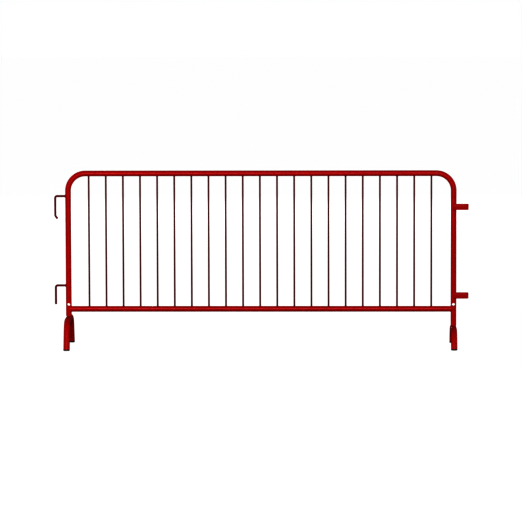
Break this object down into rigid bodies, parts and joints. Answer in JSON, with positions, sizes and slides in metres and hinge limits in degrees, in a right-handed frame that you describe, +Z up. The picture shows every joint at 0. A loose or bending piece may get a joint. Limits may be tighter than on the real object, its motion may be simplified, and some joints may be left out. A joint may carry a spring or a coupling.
{
  "type": "crowd control barrier",
  "caption": "Red steel interlocking crowd barrier: bent tube frame, vertical rods, hooks on one end, strap loops on the other, and two removable bridge feet that swivel.",
  "frame": {"origin": "on the floor, under the middle of the barrier's whole length and depth", "axes": "+X along the barrier from the hook end to the loop end, +Y to the back, +Z up"},
  "size_m": [2.578, 0.4902, 1.1],
  "materials": {
    "frame_paint": "red powder coat, semi-gloss",
    "upright_paint": "red powder coat, semi-gloss",
    "hook_paint": "red powder coat, semi-gloss",
    "plug_plastic": "moulded black plastic"
  },
  "bodies": {
    "frame": {"perimeter_tube": "frame_paint", "bottom_rail": "frame_paint", "upright_01": "upright_paint", "upright_02": "upright_paint", "upright_03": "upright_paint", "upright_04": "upright_paint", "upright_05": "upright_paint", "upright_06": "upright_paint", "upright_07": "upright_paint", "upright_08": "upright_paint", "upright_09": "upright_paint", "upright_10": "upright_paint", "upright_11": "upright_paint", "upright_12": "upright_paint", "upright_13": "upright_paint", "upright_14": "upright_paint", "upright_15": "upright_paint", "upright_16": "upright_paint", "upright_17": "upright_paint", "upright_18": "upright_paint", "upright_19": "upright_paint", "upright_20": "upright_paint", "upright_21": "upright_paint", "upper_hook": "hook_paint", "lower_hook": "hook_paint", "upper_loop": "frame_paint", "lower_loop": "frame_paint"},
    "left_foot": {"left_foot_tube": "frame_paint", "left_foot_spigot": "frame_paint", "left_foot_front_plug": "plug_plastic", "left_foot_rear_plug": "plug_plastic"},
    "right_foot": {"right_foot_tube": "frame_paint", "right_foot_spigot": "frame_paint", "right_foot_front_plug": "plug_plastic", "right_foot_rear_plug": "plug_plastic"}
  },
  "joints": [
    {"name": "left_foot_swivel", "type": "hinge", "parent": "frame", "child": "left_foot", "pos_m": [-1.203, 0, 0.1925], "axis": [0, 0, 1], "continuous": true},
    {"name": "right_foot_swivel", "type": "hinge", "parent": "frame", "child": "right_foot", "pos_m": [1.197, 0, 0.131], "axis": [0, 0, 1], "continuous": true}
  ]
}
